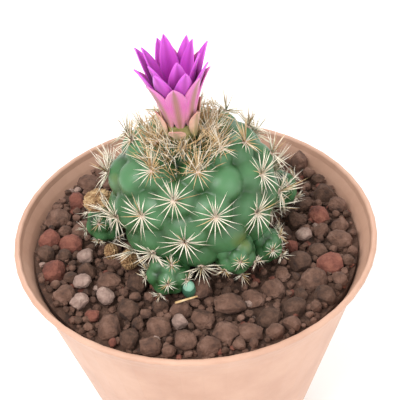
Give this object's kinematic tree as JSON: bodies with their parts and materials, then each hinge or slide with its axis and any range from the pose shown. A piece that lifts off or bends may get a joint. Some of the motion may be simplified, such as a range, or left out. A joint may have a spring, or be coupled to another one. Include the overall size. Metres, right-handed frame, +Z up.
{
  "type": "potted round cactus",
  "caption": "Round tubercled cactus with young heads at its base and a funnel flower on its crown, rooted in lava gravel in a flared plastic nursery pot.",
  "frame": {"origin": "centre of the pot's foot, on the surface it stands on", "axes": "+Z up along the pot axis, -Y towards the front of the plant"},
  "size_m": [0.105, 0.105, 0.1399],
  "materials": {
    "dried_tissue": "matte",
    "lava_stone": "matte",
    "magenta_tepal": "matte",
    "mineral_mix": "matte",
    "pale_pumice": "matte",
    "pink_tepal": "matte",
    "pollen": "matte",
    "terracotta_plastic": "matte",
    "outer_scale": "matte",
    "cactus_skin": "satin",
    "spines": "satin"
  },
  "bodies": {
    "root": {"cactus_stem": "cactus_skin", "dead_offset_front_left": "dried_tissue", "dead_offset_left": "dried_tissue", "dried_flower": "dried_tissue", "flower_tube": "outer_scale", "gravel_bed": "lava_stone", "inner_tepal_high_1": "magenta_tepal", "inner_tepal_high_2": "magenta_tepal", "inner_tepal_high_3": "magenta_tepal", "inner_tepal_high_4": "magenta_tepal", "inner_tepal_high_5": "magenta_tepal", "inner_tepal_high_6": "magenta_tepal", "inner_tepal_low_1": "magenta_tepal", "inner_tepal_low_2": "magenta_tepal", "inner_tepal_low_3": "magenta_tepal", "inner_tepal_low_4": "magenta_tepal", "inner_tepal_low_5": "magenta_tepal", "inner_tepal_low_6": "magenta_tepal", "inner_tepal_low_7": "magenta_tepal", "inner_tepal_low_8": "magenta_tepal", "lava_stone_1": "lava_stone", "lava_stone_2": "lava_stone", "lava_stone_3": "lava_stone", "offset_back_right": "cactus_skin", "offset_front": "cactus_skin", "offset_front_bud": "cactus_skin", "offset_left": "cactus_skin", "offset_right": "cactus_skin", "offset_right_front": "cactus_skin", "outer_tepal_1": "pink_tepal", "outer_tepal_2": "pink_tepal", "outer_tepal_3": "pink_tepal", "outer_tepal_4": "pink_tepal", "outer_tepal_5": "pink_tepal", "outer_tepal_6": "pink_tepal", "outer_tepal_7": "pink_tepal", "outer_tepal_8": "pink_tepal", "pale_stone_1": "pale_pumice", "pale_stone_2": "pale_pumice", "pale_stone_3": "pale_pumice", "pale_stone_4": "pale_pumice", "pale_stone_5": "pale_pumice", "pale_stone_6": "pale_pumice", "pistil": "pollen", "pot": "terracotta_plastic", "potting_mix": "mineral_mix", "scale_1": "outer_scale", "scale_2": "outer_scale", "scale_3": "outer_scale", "scale_4": "outer_scale", "scale_5": "outer_scale", "scale_6": "outer_scale", "stamens": "pollen", "straw": "spines"}
  },
  "joints": []
}
